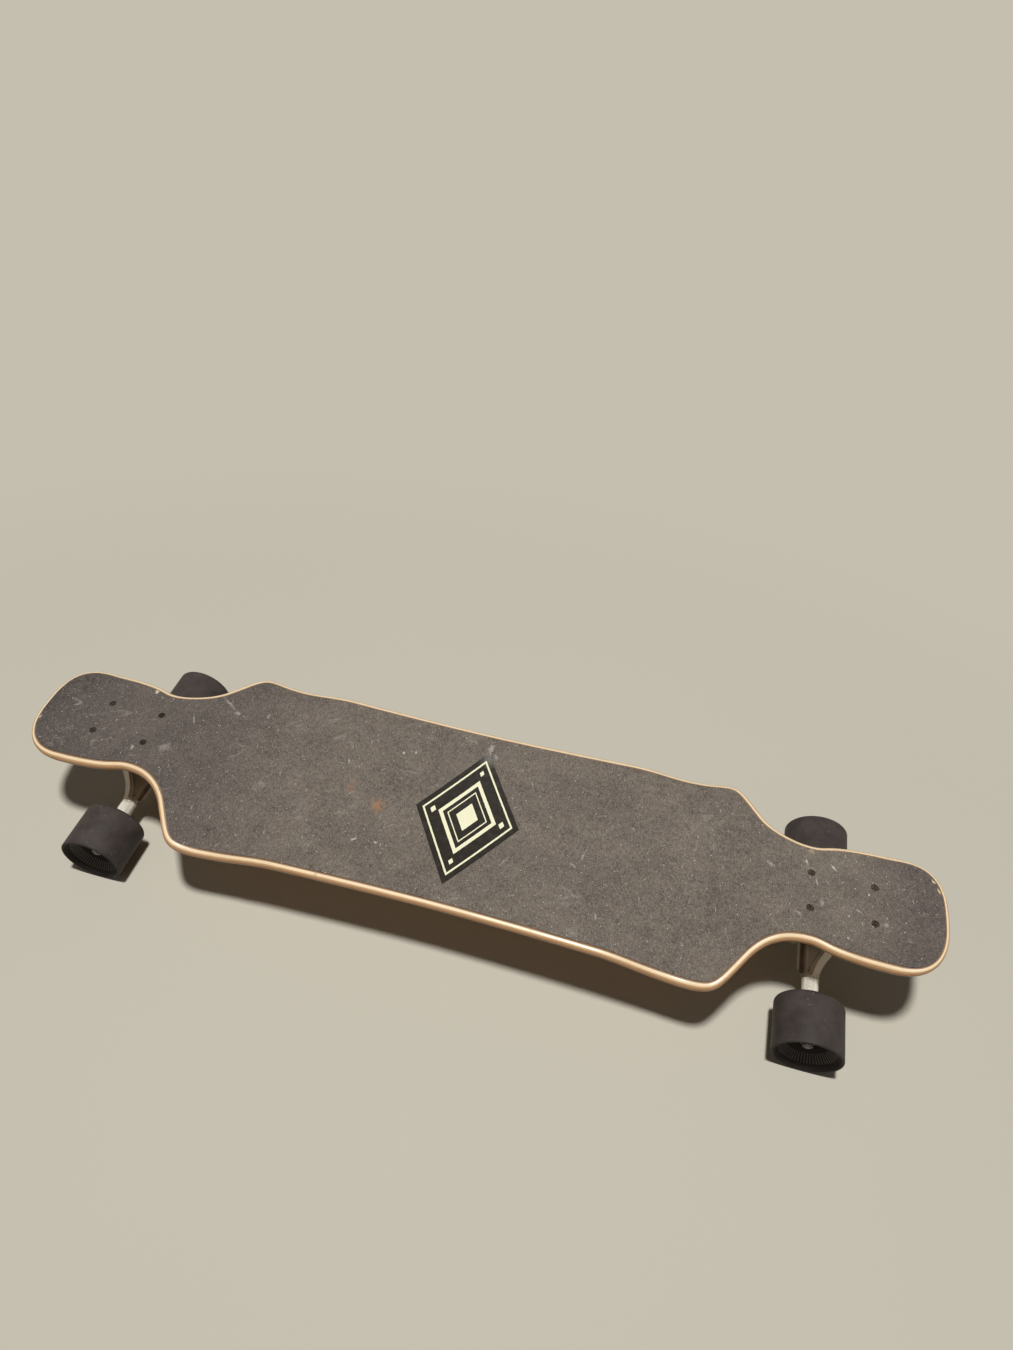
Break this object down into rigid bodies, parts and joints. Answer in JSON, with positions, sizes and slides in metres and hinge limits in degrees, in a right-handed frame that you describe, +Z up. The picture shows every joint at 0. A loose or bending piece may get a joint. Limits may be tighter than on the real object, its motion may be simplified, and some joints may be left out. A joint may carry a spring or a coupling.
{
  "type": "longboard",
  "caption": "Drop-platform maple longboard with a gripped top, reverse-kingpin trucks that steer and wide soft wheels that spin.",
  "frame": {"origin": "on the floor under the middle of the board", "axes": "+X along the board to its front, +Y to its left, +Z up"},
  "size_m": [1.006, 0.268, 0.1305],
  "materials": {
    "maple": "clear-lacquered maple plies, a little worn along the edge",
    "grip": "worn mineral grit on a plastic film, dusty grey with pale scuffs",
    "label": "printed black sheet with a plain cream border line",
    "cast_aluminium": "raw casting, tumbled, with a machined band at each end of the hanger",
    "plated_steel": "zinc-plated",
    "black_steel": "black oxide",
    "wheel_urethane": "charcoal cast urethane, satin tread with a dusty bloom",
    "bushing_urethane": "cast urethane",
    "core_nylon": "moulded nylon",
    "bearing_steel": "ground steel races with pressed shields"
  },
  "bodies": {
    "board": {"deck": "maple", "grip_sheet": "grip", "label": "label", "front_baseplate": "cast_aluminium", "front_pivot_cup": "bushing_urethane", "front_kingpin": "plated_steel", "front_kingpin_nut": "plated_steel", "front_bushing_board": "bushing_urethane", "front_bushing_road": "bushing_urethane", "front_cup_washer_board": "plated_steel", "front_cup_washer_road": "plated_steel", "front_inboard_left_bolt": "black_steel", "front_inboard_right_bolt": "black_steel", "front_outboard_left_bolt": "black_steel", "front_outboard_right_bolt": "black_steel", "front_inboard_left_nut": "plated_steel", "front_inboard_right_nut": "plated_steel", "front_outboard_left_nut": "plated_steel", "front_outboard_right_nut": "plated_steel", "rear_baseplate": "cast_aluminium", "rear_pivot_cup": "bushing_urethane", "rear_kingpin": "plated_steel", "rear_kingpin_nut": "plated_steel", "rear_bushing_board": "bushing_urethane", "rear_bushing_road": "bushing_urethane", "rear_cup_washer_board": "plated_steel", "rear_cup_washer_road": "plated_steel", "rear_inboard_left_bolt": "black_steel", "rear_inboard_right_bolt": "black_steel", "rear_outboard_left_bolt": "black_steel", "rear_outboard_right_bolt": "black_steel", "rear_inboard_left_nut": "plated_steel", "rear_inboard_right_nut": "plated_steel", "rear_outboard_left_nut": "plated_steel", "rear_outboard_right_nut": "plated_steel"},
    "front_truck": {"front_hanger": "cast_aluminium", "front_axle": "plated_steel", "front_left_axle_nut": "plated_steel", "front_right_axle_nut": "plated_steel"},
    "front_left_wheel": {"front_left_tyre": "wheel_urethane", "front_left_core": "core_nylon", "front_left_inner_bearing": "bearing_steel", "front_left_outer_bearing": "bearing_steel"},
    "front_right_wheel": {"front_right_tyre": "wheel_urethane", "front_right_core": "core_nylon", "front_right_inner_bearing": "bearing_steel", "front_right_outer_bearing": "bearing_steel"},
    "rear_truck": {"rear_hanger": "cast_aluminium", "rear_axle": "plated_steel", "rear_left_axle_nut": "plated_steel", "rear_right_axle_nut": "plated_steel"},
    "rear_left_wheel": {"rear_left_tyre": "wheel_urethane", "rear_left_core": "core_nylon", "rear_left_inner_bearing": "bearing_steel", "rear_left_outer_bearing": "bearing_steel"},
    "rear_right_wheel": {"rear_right_tyre": "wheel_urethane", "rear_right_core": "core_nylon", "rear_right_inner_bearing": "bearing_steel", "rear_right_outer_bearing": "bearing_steel"}
  },
  "joints": [
    {"name": "front_steer", "type": "hinge", "parent": "board", "child": "front_truck", "pos_m": [0.39167, 0, 0.03821], "axis": [0.6428, 0, 0.766], "range_deg": [-20, 20], "stiffness_Nm_per_rad": 60, "deforming": ["front_bushing_board", "front_bushing_road"]},
    {"name": "front_left_spin", "type": "hinge", "parent": "front_truck", "child": "front_left_wheel", "pos_m": [0.3955, 0.1065, 0.035], "axis": [0, 1, 0], "continuous": true},
    {"name": "front_right_spin", "type": "hinge", "parent": "front_truck", "child": "front_right_wheel", "pos_m": [0.3955, -0.1065, 0.035], "axis": [0, 1, 0], "continuous": true},
    {"name": "rear_steer", "type": "hinge", "parent": "board", "child": "rear_truck", "pos_m": [-0.39167, 0, 0.03821], "axis": [-0.6428, 0, 0.766], "range_deg": [-20, 20], "stiffness_Nm_per_rad": 60, "deforming": ["rear_bushing_board", "rear_bushing_road"]},
    {"name": "rear_left_spin", "type": "hinge", "parent": "rear_truck", "child": "rear_left_wheel", "pos_m": [-0.3955, 0.1065, 0.035], "axis": [0, 1, 0], "continuous": true},
    {"name": "rear_right_spin", "type": "hinge", "parent": "rear_truck", "child": "rear_right_wheel", "pos_m": [-0.3955, -0.1065, 0.035], "axis": [0, 1, 0], "continuous": true}
  ]
}
